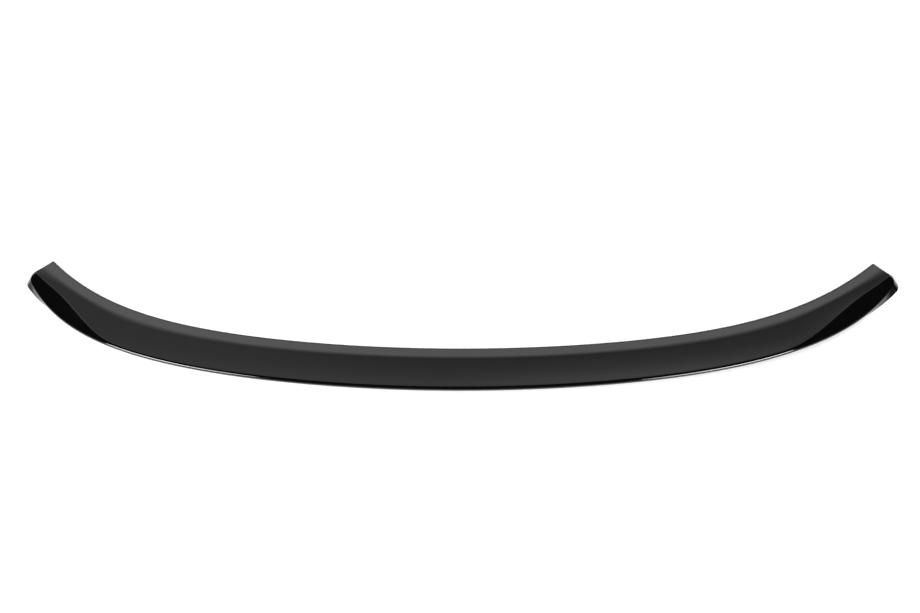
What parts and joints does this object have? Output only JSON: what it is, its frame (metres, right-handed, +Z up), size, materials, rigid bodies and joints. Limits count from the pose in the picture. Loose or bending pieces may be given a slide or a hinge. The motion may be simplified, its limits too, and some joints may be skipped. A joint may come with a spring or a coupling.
{
  "type": "boot lid lip spoiler",
  "caption": "Slim crescent lip spoiler for a car's boot lid, a gloss black hollow moulding with a thin front land, a rising ramp and a rounded trailing edge.",
  "frame": {"origin": "under the middle of the overall box, in the plane of the bonding rim", "axes": "+X along the span, +Y forwards (towards the car's front, the hollow side of the bow), +Z up"},
  "size_m": [1.2042, 0.2202, 0.0263],
  "materials": {
    "gloss_black": "gloss black paint on a moulded plastic shell"
  },
  "bodies": {
    "root": {"lip_spoiler": "gloss_black"}
  },
  "joints": []
}
